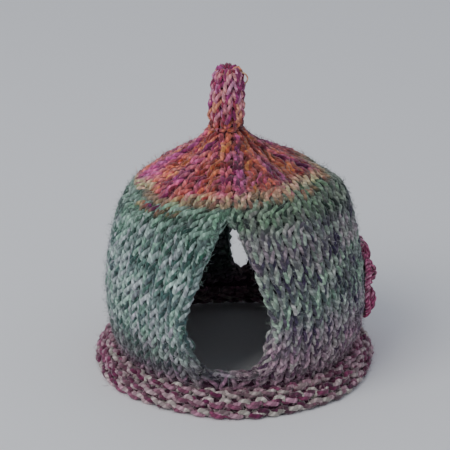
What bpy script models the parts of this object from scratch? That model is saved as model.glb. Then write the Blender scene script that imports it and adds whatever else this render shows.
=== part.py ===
"""Knitted tea cosy with a garter-stitch brim, an eight-part crown, a stalk and a crocheted flower.

Metres, +Z up. The cosy stands on its hem at z = 0, centred on the origin. The spout opening faces
-Y and the handle slit faces +Y. The cloth is made as it is knitted: a grid of
columns and rows is wrapped round into a dome, and its two slits are held open.
"""

import math

import bmesh
import bpy

# Section of the knitted cloth: points of its outer face, and how far each faces up, in degrees
CLOTH_THICKNESS = 0.0045
BRIM = (
    # radius, height, facing
    (0.0772, 0.0000, 0),
    (0.0778, 0.0020, 10),
    (0.0768, 0.0052, 30),
    (0.0745, 0.0086, 52),
    (0.0716, 0.0112, 65),
    (0.0690, 0.0126, 66),
)
SIDES = (
    # radius, height, facing
    (0.0673, 0.0146, 20),
    (0.0695, 0.0190, -18),
    (0.0710, 0.0235, -12),
    (0.0720, 0.0310, -6),
    (0.0727, 0.0430, -1),
    (0.0721, 0.0560, 5),
    (0.0702, 0.0690, 10),
    (0.0678, 0.0810, 14),
    (0.0646, 0.0920, 23),
    (0.0596, 0.1012, 35),
    (0.0526, 0.1084, 48),
    (0.0436, 0.1143, 57),
    (0.0336, 0.1196, 61),
    (0.0236, 0.1250, 58),
    (0.0158, 0.1310, 48),
    (0.0108, 0.1364, 42),
    (0.0085, 0.1390, 60),
)
COLUMNS = 56
ROWS_A_STEP = 2
NECK_OFFSET = -0.0050
LEAN_FROM = 0.085

# Where the body's axis stands, so that the whole cosy is centred on the origin
AXIS = (0.0004, 0.0035)

# The brim is garter stitch: three ridges run round it
GARTER_RIDGES = 3
POINTS_A_RIDGE = 4
RIDGE_DEPTH = 0.0008

# The two slits: how far each edge stands from the middle. The front one stands wide open.
SPOUT_SLIT = (
    # height, half the width
    (0.0195, 0.0000),
    (0.0208, 0.0080),
    (0.0236, 0.0124),
    (0.0300, 0.0168),
    (0.0400, 0.0211),
    (0.0520, 0.0228),
    (0.0640, 0.0203),
    (0.0740, 0.0160),
    (0.0840, 0.0122),
    (0.0940, 0.0088),
    (0.1030, 0.0042),
    (0.1075, 0.0000),
)
HANDLE_SLIT = (
    # height, half the width
    (0.0200, 0.0000),
    (0.0290, 0.0042),
    (0.0500, 0.0066),
    (0.0800, 0.0062),
    (0.0990, 0.0036),
    (0.1075, 0.0000),
)
FRONT_TURN = math.radians(-3)
LIP_RISE = 0.0012
LIP_REACH = 0.010

# The crown is shaped by eight decrease lines, which stand up as soft ribs
CROWN_PARTS = 8
CROWN_RIB = 0.0010
CROWN_RIB_SHARE = 0.035
CROWN_FROM = 0.100

# Where the cloth stands out from an even dome or sinks in
UNEVEN = (
    # azimuth in degrees, height, outwards, spread in azimuth in degrees, spread in height
    (84, 0.106, 0.0050, 32, 0.011),
    (-80, 0.060, 0.0010, 40, 0.022),
    (-125, 0.050, -0.0014, 45, 0.025),
    (62, 0.030, 0.0012, 35, 0.015),
    (160, 0.085, -0.0012, 40, 0.018),
    (-75, 0.110, -0.0022, 34, 0.012),
)
BRIM_WAVES = (
    # waves round the brim, height of the wave, where it starts in degrees
    (1, 0.0026, 90),
    (2, 0.0010, -90),
    (3, 0.0007, 40),
    (7, 0.0005, 110),
)

# The stalk: a knitted cord of six stitches round, closed at its top and sewn over the neck
STALK_PROFILE = (
    # radius, height above the foot
    (0.0080, 0.0000),
    (0.0092, 0.0012),
    (0.0100, 0.0060),
    (0.0097, 0.0130),
    (0.0091, 0.0200),
    (0.0086, 0.0265),
    (0.0079, 0.0305),
    (0.0056, 0.0329),
    (0.0025, 0.0325),
    (0.0000, 0.0318),
)
STALK_STITCHES = 6
STALK_SIDES = 36
STALK_RIB = 0.0006
STALK_LEAN = math.radians(2.6)

# The flower: five petals crocheted in one round, sewn to the right-hand side
FLOWER_AZIMUTH = math.radians(101)
FLOWER_HEIGHT = 0.0420
FLOWER_RADIUS = 0.0245
FLOWER_THICKNESS = 0.0040
FLOWER_TURN = math.radians(54)
PETALS = 5
PETAL_NOTCH = 0.30
PETAL_LIFT = 0.0026
PETAL_PUFF = 0.0012
FLOWER_DIMPLE = 0.0012
FLOWER_RINGS = 7
FLOWER_SPOKES = 50

GAP = 0.0004
MERGE = 0.00001


def material(name, colour, roughness):
    made = bpy.data.materials.new(name)
    made.use_nodes = True
    shader = made.node_tree.nodes["Principled BSDF"]
    shader.inputs["Base Color"].default_value = (*colour, 1.0)
    shader.inputs["Roughness"].default_value = roughness
    shader.inputs["Metallic"].default_value = 0.0
    return made


def object_from(bm, name, finish, collection):
    bmesh.ops.recalc_face_normals(bm, faces=bm.faces)
    if bm.calc_volume(signed=True) < 0:
        bmesh.ops.reverse_faces(bm, faces=bm.faces)
    mesh = bpy.data.meshes.new(name)
    bm.to_mesh(mesh)
    bm.free()
    made = bpy.data.objects.new(name, mesh)
    made.data.materials.append(finish)
    made.data.shade_smooth()
    collection.objects.link(made)
    return made


def between(knots, at):
    """A smooth curve through the knots, each a tuple of numbers, at a place counted in knots."""
    last = len(knots) - 1
    i = min(int(at), last - 1)
    t = at - i
    a, b, c, d = (knots[max(0, min(last, i + k))] for k in (-1, 0, 1, 2))
    return tuple(
        0.5 * (2 * q + (r - p) * t + (2 * p - 5 * q + 4 * r - s) * t * t
               + (3 * q - p - 3 * r + s) * t ** 3)
        for p, q, r, s in zip(a, b, c, d)
    )


def at_level(knots, level, column, steps=4):
    """The other number of a smooth curve where the number in the column reaches a level."""
    count = (len(knots) - 1) * steps
    found = [between(knots, i / steps) for i in range(count + 1)]
    for low, high in zip(found, found[1:]):
        if low[column] <= level <= high[column]:
            share = (level - low[column]) / (high[column] - low[column])
            return low[1 - column] + share * (high[1 - column] - low[1 - column])
    return 0.0


def smooth_step(low, high, value):
    t = max(0.0, min(1.0, (value - low) / (high - low)))
    return t * t * (3 - 2 * t)


def section_rows():
    """Rows of the cloth from the hem to the neck: radius, height, facing and the ridge on it."""
    brim_points = GARTER_RIDGES * POINTS_A_RIDGE
    rows = []
    for i in range(brim_points + 1):
        share = i / brim_points
        ridge = -RIDGE_DEPTH * math.cos(2 * math.pi * GARTER_RIDGES * share) * (0 < i)
        rows.append((*between(BRIM, share * (len(BRIM) - 1)), ridge))
    side_steps = (len(SIDES) - 1) * ROWS_A_STEP
    rows += [(*between(SIDES, i / ROWS_A_STEP), 0.0) for i in range(side_steps + 1)]
    return rows


def uneven(azimuth, height):
    """How far the cloth stands out of an even dome at a place."""
    out = 0.0
    for middle, level, most, spread, tall in UNEVEN:
        turn = (math.degrees(azimuth) - middle + 180) % 360 - 180
        out += most * math.exp(-(turn / spread) ** 2 - ((height - level) / tall) ** 2)
    return out


def on_cloth(radius, height, azimuth, out=0.0):
    """A point of the cloth. Azimuth 0 is the front, and grows towards +X."""
    low = SIDES[0][1]
    side = smooth_step(low, low + 0.010, height)
    wave = sum(h * math.sin(n * azimuth + math.radians(start)) for n, h, start in BRIM_WAVES)
    wave *= 1 - smooth_step(0.3 * low, low, height)
    crown = smooth_step(CROWN_FROM, CROWN_FROM + 0.010, height)
    rib = min(CROWN_RIB, CROWN_RIB_SHARE * radius) * crown
    rib *= math.cos(CROWN_PARTS * (azimuth - FRONT_TURN))
    radius += out + uneven(azimuth, height) * side + wave + 0.5 * rib
    lean = NECK_OFFSET * smooth_step(LEAN_FROM, SIDES[-1][1], height)
    x = AXIS[0] + radius * math.sin(azimuth) + lean
    return (x, AXIS[1] - radius * math.cos(azimuth), height + rib)


def wrapped(row, around, inwards):
    """A point of a row, at a depth in the cloth. Around runs from 0 at the front to 1, by +X."""
    radius, height, facing, ridge = row
    facing = math.radians(facing)
    spout = at_level(SPOUT_SLIT, height, 0)
    handle = at_level(HANDLE_SLIT, height, 0)
    spout_angle = math.asin(spout / radius)
    handle_angle = math.asin(handle / radius)
    half_turn = 2 * min(around, 1 - around)
    azimuth = spout_angle + (math.pi - spout_angle - handle_angle) * half_turn
    lip = LIP_RISE * (spout > 0) * math.exp(-((azimuth - spout_angle) * radius / LIP_REACH) ** 2)
    out = (ridge - inwards) * math.cos(facing)
    up = (ridge - inwards) * math.sin(facing)
    side = 1 if around <= 0.5 else -1
    return on_cloth(radius + out, height + up, side * azimuth + FRONT_TURN, lip)


def knitted_body(finish, collection):
    """One knitted piece: garter brim, stocking-stitch sides with two slits, and a closed crown."""
    rows = section_rows()
    last = len(rows) - 1
    bm = bmesh.new()
    bmesh.ops.create_grid(bm, x_segments=COLUMNS, y_segments=last, size=0.5)
    split_at_the_back(bm, rows)
    place = {}
    for v in bm.verts:
        row = rows[round((v.co.y + 0.5) * last)]
        sides = sum(f.calc_center_median().x for f in v.link_faces)
        nudge = math.copysign(1e-9, sides) if abs(v.co.x) < 1e-6 else 0.0
        place[v] = (row, v.co.x + 0.5 + nudge)
    for v, (row, around) in place.items():
        v.co = wrapped(row, around, 0.0)
    bmesh.ops.remove_doubles(bm, verts=bm.verts, dist=MERGE)
    inner = thicken(bm, lambda edge: all(place[v][0] == rows[-1] for v in edge.verts))
    for v, copy in inner.items():
        row, around = place[v]
        copy.co = wrapped(row, around, CLOTH_THICKNESS)
    return object_from(bm, "knitted_body", finish, collection)


def split_at_the_back(bm, rows):
    """Part the grid down its middle, where the back slit lies."""
    last = len(rows) - 1

    def open_here(v):
        height = rows[round((v.co.y + 0.5) * last)][1]
        return abs(v.co.x) < 1e-6 and at_level(HANDLE_SLIT, height, 0) > 0

    slit = [e for e in bm.edges if all(abs(v.co.x) < 1e-6 for v in e.verts)
            and any(open_here(v) for v in e.verts)]
    bmesh.ops.split_edges(bm, edges=slit)


def thicken(bm, capped=lambda edge: False):
    """Copy the outer face as the inner one and join their edges. Capped edges get a lid each side."""
    outer = list(bm.verts)
    rims = [e for e in bm.edges if e.is_boundary]
    copied = bmesh.ops.duplicate(bm, geom=bm.verts[:] + bm.edges[:] + bm.faces[:])
    inner = {v: copied["vert_map"][v] for v in outer}
    lid = [e for e in rims if capped(e)]
    for e in rims:
        if e not in lid:
            a, b = e.verts
            bm.faces.new((a, b, inner[b], inner[a]))
    if lid:
        bmesh.ops.contextual_create(bm, geom=lid)
        bmesh.ops.contextual_create(bm, geom=[copied["edge_map"][e] for e in lid])
    return inner


def stalk(finish, collection):
    """A short knitted cord, ribbed by its six columns of stitches, with a drawn-in top."""
    steps = 2 * (len(STALK_PROFILE) - 1)
    line = [between(STALK_PROFILE, i / 2) for i in range(steps + 1)][::-1] + [(0.0, 0.0)]
    line[0] = (0.0, line[0][1])
    mesh = bpy.data.meshes.new("stalk_profile")
    mesh.from_pydata([(r, 0, z) for r, z in line], [(i, i + 1) for i in range(len(line) - 1)], [])
    turned = bpy.data.objects.new("stalk_turned", mesh)
    collection.objects.link(turned)
    screw = turned.modifiers.new("turn", "SCREW")
    screw.steps = STALK_SIDES
    screw.render_steps = STALK_SIDES
    screw.use_merge_vertices = True
    screw.merge_threshold = MERGE
    graph = bpy.context.evaluated_depsgraph_get()
    mesh = bpy.data.meshes.new_from_object(turned.evaluated_get(graph))
    bpy.data.objects.remove(turned)
    bm = bmesh.new()
    bm.from_mesh(mesh)
    foot = SIDES[-1][1] + GAP
    for v in bm.verts:
        radius = math.hypot(v.co.x, v.co.y)
        turn = math.atan2(v.co.x, v.co.y)
        ribbed = smooth_step(0, 0.003, v.co.z) * smooth_step(0, 0.006, radius)
        grow = 1 + ribbed * STALK_RIB / max(radius, STALK_RIB) * math.cos(STALK_STITCHES * turn)
        v.co.x = AXIS[0] + v.co.x * grow + math.tan(STALK_LEAN) * v.co.z + NECK_OFFSET
        v.co.y = AXIS[1] + v.co.y * grow
        v.co.z += foot
    return object_from(bm, "stalk", finish, collection)


def petal_point(share, turn):
    """Where a point of the flower lies: across, up, and how high its middle stands."""
    lobe = abs(math.cos(0.5 * PETALS * (turn - FLOWER_TURN))) ** 0.55
    reach = FLOWER_RADIUS * (1 - PETAL_NOTCH * smooth_step(0.3, 1, share) * (1 - lobe))
    lift = PETAL_LIFT * share ** 2 * lobe
    return reach * share * math.sin(turn), reach * share * math.cos(turn), lift, lobe


def flower(finish, collection):
    """Five round petals in one piece, which follow the side of the cosy and lift at their rims."""
    bm = bmesh.new()
    bmesh.ops.create_circle(bm, cap_ends=True, cap_tris=True, segments=FLOWER_SPOKES, radius=1.0)
    spokes = [e for e in bm.edges if any(v.co.length < 1e-6 for v in e.verts)]
    bmesh.ops.subdivide_edges(bm, edges=spokes, cuts=FLOWER_RINGS - 1)
    place = {v: (v.co.length, math.atan2(v.co.x, v.co.y)) for v in bm.verts}
    inner = thicken(bm)
    for v, (share, turn) in place.items():
        across, up, lift, lobe = petal_point(share, turn)
        puff = PETAL_PUFF * lobe * math.sin(math.pi * share) ** 2
        dimple = FLOWER_DIMPLE * math.exp(-(share / 0.22) ** 2)
        height = FLOWER_HEIGHT + up
        radius = at_level(SIDES, height, 1)
        azimuth = FLOWER_AZIMUTH - across / radius
        back = GAP + lift
        v.co = on_cloth(radius, height, azimuth, back + FLOWER_THICKNESS + puff - dimple)
        inner[v].co = on_cloth(radius, height, azimuth, back)
    return object_from(bm, "flower", finish, collection)


def main():
    for old in list(bpy.data.objects):
        bpy.data.objects.remove(old)
    collection = bpy.data.collections.new("tea_cosy")
    bpy.context.scene.collection.children.link(collection)
    knitted_body(material("marled_wool", (0.33, 0.40, 0.37), 0.95), collection)
    stalk(material("magenta_wool", (0.50, 0.16, 0.24), 0.95), collection)
    flower(material("crimson_wool", (0.36, 0.04, 0.14), 0.95), collection)


main()
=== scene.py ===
# %% [markdown]
# # A knitted tea cosy
# The cosy is one knitted piece, with a cord sewn on top and a crocheted flower sewn on its side.
# Its yarn is two strands held together, a light one and a dark one, and every stitch shows both.
# The solids give the form; here each stitch is laid on that form as the yarn really runs.

# %% Load the frame
import math

import bpy
import numpy as np
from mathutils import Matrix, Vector


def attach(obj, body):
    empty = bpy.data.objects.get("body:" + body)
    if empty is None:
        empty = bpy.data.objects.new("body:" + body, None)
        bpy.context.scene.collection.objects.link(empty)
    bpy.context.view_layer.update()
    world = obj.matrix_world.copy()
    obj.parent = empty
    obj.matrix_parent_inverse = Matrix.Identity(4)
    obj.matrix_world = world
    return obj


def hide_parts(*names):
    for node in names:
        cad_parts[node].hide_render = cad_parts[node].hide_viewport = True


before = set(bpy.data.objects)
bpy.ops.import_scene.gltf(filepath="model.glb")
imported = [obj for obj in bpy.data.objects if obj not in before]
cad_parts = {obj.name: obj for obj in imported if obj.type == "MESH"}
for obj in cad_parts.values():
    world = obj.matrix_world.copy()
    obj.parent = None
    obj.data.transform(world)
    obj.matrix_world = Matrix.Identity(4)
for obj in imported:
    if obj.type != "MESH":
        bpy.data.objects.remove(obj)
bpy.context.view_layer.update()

chance = np.random.default_rng(7)
print("nodes:", sorted(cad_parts))

# %% [markdown]
# ## The form that the stitches lie on
# The cloth's section is a line from the hem over the brim and from the fold up to the neck.
# It is measured along the cloth, because knitting is counted in rows of equal height.
# The sizes are the same as in the solids, so the stitches follow their folds and ribs.

# %% Named sizes of the cosy
AXIS = (0.0004, 0.0035)
BRIM = (
    # radius, height, facing in degrees
    (0.0772, 0.0000, 0),
    (0.0778, 0.0020, 10),
    (0.0768, 0.0052, 30),
    (0.0745, 0.0086, 52),
    (0.0716, 0.0112, 65),
    (0.0690, 0.0126, 66),
)
SIDES = (
    # radius, height, facing in degrees
    (0.0673, 0.0146, 20),
    (0.0695, 0.0190, -18),
    (0.0710, 0.0235, -12),
    (0.0720, 0.0310, -6),
    (0.0727, 0.0430, -1),
    (0.0721, 0.0560, 5),
    (0.0702, 0.0690, 10),
    (0.0678, 0.0810, 14),
    (0.0646, 0.0920, 23),
    (0.0596, 0.1012, 35),
    (0.0526, 0.1084, 48),
    (0.0436, 0.1143, 57),
    (0.0336, 0.1196, 61),
    (0.0236, 0.1250, 58),
    (0.0158, 0.1310, 48),
    (0.0108, 0.1364, 42),
    (0.0085, 0.1390, 60),
)
SPOUT_SLIT = (
    # height, half the width
    (0.0195, 0.0000),
    (0.0208, 0.0080),
    (0.0236, 0.0124),
    (0.0300, 0.0168),
    (0.0400, 0.0211),
    (0.0520, 0.0228),
    (0.0640, 0.0203),
    (0.0740, 0.0160),
    (0.0840, 0.0122),
    (0.0940, 0.0088),
    (0.1030, 0.0042),
    (0.1075, 0.0000),
)
HANDLE_SLIT = (
    # height, half the width
    (0.0200, 0.0000),
    (0.0290, 0.0042),
    (0.0500, 0.0066),
    (0.0800, 0.0062),
    (0.0990, 0.0036),
    (0.1075, 0.0000),
)
UNEVEN = (
    # azimuth in degrees, height, outwards, spread in azimuth in degrees, spread in height
    (84, 0.106, 0.0050, 32, 0.011),
    (-80, 0.060, 0.0010, 40, 0.022),
    (-125, 0.050, -0.0014, 45, 0.025),
    (62, 0.030, 0.0012, 35, 0.015),
    (160, 0.085, -0.0012, 40, 0.018),
    (-75, 0.110, -0.0022, 34, 0.012),
)
BRIM_WAVES = (
    # waves round the brim, height of the wave, where it starts in degrees
    (1, 0.0026, 90),
    (2, 0.0010, -90),
    (3, 0.0007, 40),
    (7, 0.0005, 110),
)
FRONT_TURN = math.radians(-3)
NECK_OFFSET = -0.0050
LEAN_FROM = 0.085
CROWN_PARTS = 8
CROWN_RIB = 0.0010
CROWN_RIB_SHARE = 0.035
CROWN_FROM = 0.100
FOLD = (0.0680, 0.0136, 45)
FOLD_HEIGHT = SIDES[0][1]
NECK_HEIGHT = SIDES[-1][1]


# %% Smooth curves and the cloth's section
def spline(knots, at):
    """A smooth curve through knots, at places counted in knots."""
    knots = np.asarray(knots, float)
    last = len(knots) - 1
    i = np.clip(np.floor(at).astype(int), 0, last - 1)
    t = (at - i)[:, None]
    a, b, c, d = (knots[np.clip(i + k, 0, last)] for k in (-1, 0, 1, 2))
    bend = (2 * a - 5 * b + 4 * c - d) * t * t
    return 0.5 * (2 * b + (c - a) * t + bend + (3 * b - a - 3 * c + d) * t ** 3)


def measured(knots, steps=12):
    """A curve as closely spaced points, with how far along it each lies."""
    points = spline(knots, np.linspace(0, len(knots) - 1, steps * (len(knots) - 1) + 1))
    reach = np.hypot(*np.diff(points[:, :2], axis=0).T)
    return np.concatenate([[0.0], np.cumsum(reach)]), points


def smooth_step(low, high, value):
    t = np.clip((value - low) / (high - low), 0.0, 1.0)
    return t * t * (3 - 2 * t)


BRIM_LINE = measured(BRIM + (FOLD,))
SIDE_LINE = measured((FOLD,) + SIDES)
BRIM_LENGTH = BRIM_LINE[0][-1]
SIDE_LENGTH = SIDE_LINE[0][-1]


def on_form(radius, height, azimuth):
    """A point of the form. Azimuth 0 is the front, and grows towards +X."""
    side = smooth_step(FOLD_HEIGHT, FOLD_HEIGHT + 0.010, height)
    degrees = np.degrees(azimuth)
    out = np.zeros_like(radius)
    for middle, level, most, spread, tall in UNEVEN:
        turn = (degrees - middle + 180) % 360 - 180
        out += most * np.exp(-(turn / spread) ** 2 - ((height - level) / tall) ** 2)
    wave = sum(h * np.sin(n * azimuth + math.radians(start)) for n, h, start in BRIM_WAVES)
    wave = wave * (1 - smooth_step(0.3 * FOLD_HEIGHT, FOLD_HEIGHT, height))
    crown = smooth_step(CROWN_FROM, CROWN_FROM + 0.010, height)
    rib = np.minimum(CROWN_RIB, CROWN_RIB_SHARE * radius) * crown
    rib = rib * np.cos(CROWN_PARTS * (azimuth - FRONT_TURN))
    radius = radius + out * side + wave + 0.5 * rib
    lean = NECK_OFFSET * smooth_step(LEAN_FROM, NECK_HEIGHT, height)
    x = AXIS[0] + radius * np.sin(azimuth) + lean
    return np.stack([x, AXIS[1] - radius * np.cos(azimuth), height + rib], axis=1)


def cloth(line, azimuth, along, out):
    """A point of the cloth, so far along its section and so far out of its outer face."""
    reach, points = line
    radius, height, facing = (np.interp(along, reach, points[:, i]) for i in range(3))
    facing = np.radians(facing)
    return on_form(radius + out * np.cos(facing), height + out * np.sin(facing), azimuth)


print(f"brim {BRIM_LENGTH * 1000:.0f} mm, sides and crown {SIDE_LENGTH * 1000:.0f} mm along the cloth")

# %% [markdown]
# ## The two slits
# The sides are knitted as two panels, so a slit is left at the front and one at the back. In use
# each slit is pushed open. Its edges bow apart, and the columns of stitches near it bow with them,
# less and less further away, like lines of flow round a pebble. Towards its top a slit opens
# mostly because the cloth rolls in, as the edges of stocking stitch do, so the columns there
# stay upright and the outer ones turn out of sight.

# %% How the cloth moves aside at a slit
FLAT_RADIUS = 0.070
HALF_ROUND = math.pi * FLAT_RADIUS
EDGE_ROLL = 0.0021
ROLLED = 0.0044
TUCKED = (
    # how far up the slit, share of the opening that comes from cloth rolled in and not pushed
    (0.00, 0.45),
    (0.15, 0.40),
    (0.35, 0.50),
    (0.60, 0.80),
    (1.00, 0.90),
)
TUCK_FADES = 0.040
INSET = 0.0042
OUTLINE_POINTS = 60
CORNER_AT, CORNER_SPREAD = 0.14, 0.09
PLAIN_FROM, PLAIN_ABOVE = 0.45, 0.80
STILL_FROM, STILL_ABOVE = 0.115, 0.145
FOOT_HELD = 0.008


def outline(slit):
    """One edge of a slit on the cloth laid flat: evenly spaced points from its foot to its top."""
    heights = SIDE_LINE[1][:, 1]
    _, points = measured(slit)
    along = np.interp(points[:, 0], heights, SIDE_LINE[0])
    radius = np.interp(points[:, 0], heights, SIDE_LINE[1][:, 0])
    across = FLAT_RADIUS * np.arcsin(np.clip(points[:, 1], 0, None) / radius)
    reach = np.concatenate([[0.0], np.cumsum(np.hypot(np.diff(across), np.diff(along)))])
    even = np.linspace(0, reach[-1], OUTLINE_POINTS)
    return np.interp(even, reach, across), np.interp(even, reach, along)


def slit_places(slit, lower, upper, corner):
    """A slit's edge, where it lies in the cloth before it is pushed open, and how round its foot is.

    Lower and upper say how far past the open edge's ends the closed slit reaches."""
    across, along = outline(slit)
    low = along[0] - lower
    high = along[-1] + upper
    return {
        "across": across,
        "along": along,
        "middle": 0.5 * (low + high),
        "half": 0.5 * (high - low),
        "corner": corner,
    }


SPOUT = slit_places(SPOUT_SLIT, lower=0.0015, upper=0.0030, corner=0.0032)
HANDLE = slit_places(HANDLE_SLIT, lower=0.0005, upper=0.0010, corner=0.0)


def slit_share(across, along, slit):
    """How far up a slit's edge the nearest place is, from 0 to 1, and how far off it lies.

    These are the coordinates of ellipses round the slit: 1 on the slit itself, and more outside."""
    place = ((along - slit["middle"]) + 1j * np.maximum(across, 1e-7)) / slit["half"]
    root = np.sqrt(place * place - 1)
    u = place + root
    u = np.where(np.abs(u) < 1, place - root, u)
    return 0.5 * (1 + np.cos(np.angle(u))), np.abs(u)


def edge_moves(share, along, slit):
    """How far the edge moves across and along. In its upper part it moves across only."""
    spots = np.linspace(0, 1, len(slit["across"]))
    plain = smooth_step(PLAIN_FROM, PLAIN_ABOVE, share)
    curved = np.interp(share, spots, slit["across"])
    level = np.interp(along, slit["along"], slit["across"], left=0, right=0)
    up = np.interp(share, spots, slit["along"]) - (slit["middle"] + slit["half"] * (2 * share - 1))
    rounded = slit["corner"] * np.exp(-((share - CORNER_AT) / CORNER_SPREAD) ** 2)
    wide = curved * (1 - plain) + level * plain + rounded
    return wide + INSET * smooth_step(0, 0.005, wide), up * (1 - plain)


def pushed_aside(across, along, slit):
    """How far a place moves across and along the cloth as a slit is pushed open."""
    share, away = slit_share(across, along, slit)
    wide, up = edge_moves(share, along, slit)
    fades = smooth_step(HALF_ROUND, 0.3 * HALF_ROUND, across)
    above = 1 - smooth_step(STILL_FROM, STILL_ABOVE, along)
    weight = fades * above / away
    return wide * weight, up * weight * smooth_step(0.0, FOOT_HELD, along)


def opened(side, flat, along):
    """Azimuth and place along the section, with both slits open. Flat is from front to back."""
    front_out, front_up = pushed_aside(flat, along, SPOUT)
    back_out, back_up = pushed_aside(HALF_ROUND - flat, along, HANDLE)
    azimuth = side * (flat + front_out - back_out) / FLAT_RADIUS + FRONT_TURN
    return azimuth, along + front_up + back_up


def tucked(along, slit):
    """How much of a panel's edge rolls in and out of sight at each height."""
    share = 0.5 + 0.5 * (along - slit["middle"]) / slit["half"]
    wide, _ = edge_moves(np.clip(share, 0, 1), along, slit)
    wide = wide * ((share > 0) & (share < 1))
    return wide * np.interp(share, *zip(*TUCKED))


def drawn_in(front, along):
    """A place counted from the front, after both edges are rolled in. It can lie past an edge."""
    back = HALF_ROUND - front
    moved = front - tucked(along, SPOUT) * np.exp(-front / TUCK_FADES)
    return moved + tucked(along, HANDLE) * np.exp(-back / TUCK_FADES)


print(f"front slit {2000 * SPOUT['half']:.0f} mm of rows, back slit {2000 * HANDLE['half']:.0f} mm")

# %% [markdown]
# ## Stitches
# In stocking stitch each course of yarn runs from side to side in loops. A loop's two legs lie
# in front and make a V. Its head and the bends between loops lie behind. In a purl course it is
# the other way round, so two courses of garter stitch show a ridge of bumps.
# The number of stitches falls by eight in every other round of the crown.

# %% Rows and columns
COLUMNS = 56
CROWN_ROUNDS = (7, 6, 6, 5, 5, 4, 4, 3, 3, 2, 2, 1)
ROW = 0.00572
SIDE_ROWS = int(round((SIDE_LENGTH - 0.0005) / ROW)) - len(CROWN_ROUNDS) + 1
ROWS = SIDE_ROWS + len(CROWN_ROUNDS) - 1
ROW = SIDE_LENGTH / (ROWS + 0.15)
SAMPLES = 14
CLOTH_MIDDLE = -0.0023
LOOPS = (
    # radius of a strand, swing to the sides, height, depth, tilt: in the sides and in the crown
    (0.00117, 0.255, 0.84, 0.00140, 0.6),
    (0.00130, 0.200, 0.88, 0.00100, 0.5),
)
LOOPS_CHANGE = 6
PAIRED = 0.050
WANDER = 0.030
RISE_AND_FALL = 0.0002
SPREAD = 0.00066
TWISTS = 2.0
STRAND_SIDES = 6


def per_part(row):
    """How many stitches an eighth of a round has."""
    return 7 if row < SIDE_ROWS else CROWN_ROUNDS[min(row - SIDE_ROWS + 1, len(CROWN_ROUNDS) - 1)]


def count_at(level):
    """The same count as a smooth number at a place between rows."""
    row = np.floor(level).astype(int)
    here = np.array([per_part(max(0, r)) for r in row], float)
    after = np.array([per_part(max(0, r + 1)) for r in row], float)
    return here + (after - here) * smooth_step(0.3, 1.0, level - row)


def loop_shape(row):
    """The shape of a row's loops. In the last rows below the crown they grow fuller and flatter."""
    share = float(smooth_step(SIDE_ROWS - LOOPS_CHANGE, SIDE_ROWS, row))
    return [low * (1 - share) + high * share for low, high in zip(*LOOPS)]


def course(stitches, swing, tall, deep, tilt, wander):
    """One course of loops laid flat: across in stitches, up in rows, and out of the cloth.

    The legs swing towards each other low down and apart higher up, which makes the V. Tilt lays
    the heads deeper than the feet. Wander is how uneven the knitting is."""
    turn = np.linspace(0, 2 * math.pi * stitches, stitches * SAMPLES + 1)
    knots = np.arange(2 * stitches + 1) * math.pi

    def uneven(amount):
        return np.interp(turn, knots, chance.normal(0, amount, len(knots)))

    paired = PAIRED * np.sin(turn)
    across = turn / (2 * math.pi) + swing * np.sin(2 * turn) + paired + uneven(wander)
    up = -tall * np.cos(turn) * (1 + uneven(wander)) + uneven(0.7 * wander)
    out = -deep * np.cos(2 * turn) + tilt * deep * np.cos(turn) + uneven(RISE_AND_FALL)
    return turn / (2 * math.pi), across, up, out


def painted_shade_behind(turn):
    """Painted shade: full colour where a leg lies in front, and darker where it goes behind, most at
    the heads.
    """
    return (0.86 - 0.20 * np.cos(4 * math.pi * turn) + 0.14 * np.cos(2 * math.pi * turn))[:, None]


print(f"{SIDE_ROWS} rows of {COLUMNS} stitches, then {len(CROWN_ROUNDS) - 1} rounds of the crown")

# %% [markdown]
# ## Yarn
# A strand of yarn is a grid rolled into a long tube, and strands turn about each other.
# Each grid is a primitive whose points are then laid along the course's path, because no
# modifier can hold thousands of loops apart at the right depth.


# %% Tubes of yarn
UV_LENGTH = 0.004
UNEVEN_TWIST = 1.1
FLAT_PLY = 0.8
MERGED = 0.000002


def unit(v):
    return v / np.maximum(np.linalg.norm(v, axis=1, keepdims=True), 1e-12)


def square_to(v, direction):
    """The part of v that is square to a direction, as a unit vector."""
    return unit(v - direction * np.sum(v * direction, axis=1, keepdims=True))


def shaped(grid, points, colour):
    """Move a grid's points to their places and give each its colour, with the painted shade and
    highlight that some of them carry.
    """
    grid.data.vertices.foreach_set("co", points.reshape(-1).astype(np.float32))
    grid.data.uv_layers[0].name = "yarn"
    shown = np.ones((*points.shape[:-1], 4), np.float32)
    shown[..., :3] = colour
    tint = grid.data.attributes.new("tint", "FLOAT_COLOR", "POINT")
    tint.data.foreach_set("color", shown.reshape(-1))


def tube(path, normal, radius, colour, sides):
    """A tube along a path, as a grid primitive rolled round it, with its colour and its UV map."""
    rings = len(path)
    bpy.ops.mesh.primitive_grid_add(x_subdivisions=sides, y_subdivisions=rings - 1, size=1)
    made = bpy.context.object
    along = unit(np.gradient(path, axis=0))
    first = square_to(normal, along)
    second = np.cross(along, first)
    angle = np.linspace(0, 2 * math.pi, sides + 1)
    radius = np.broadcast_to(radius, rings)[:, None, None]
    across, upright = np.cos(angle)[None, :, None], np.sin(angle)[None, :, None]
    points = path[:, None] + radius * (across * first[:, None] + upright * second[:, None])
    shaped(made, points, colour[:, None])
    reach = np.concatenate([[0], np.cumsum(np.linalg.norm(np.diff(path, axis=0), axis=1))])
    around = angle[None] / (2 * math.pi)
    spots = np.stack(np.broadcast_arrays(reach[:, None] / UV_LENGTH, around), axis=2)
    corner = np.empty(len(made.data.loops), int)
    made.data.loops.foreach_get("vertex_index", corner)
    wound = spots.reshape(-1, 2)[corner].reshape(-1).astype(np.float32)
    made.data.uv_layers[0].uv.foreach_set("vector", wound)
    return made


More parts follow.
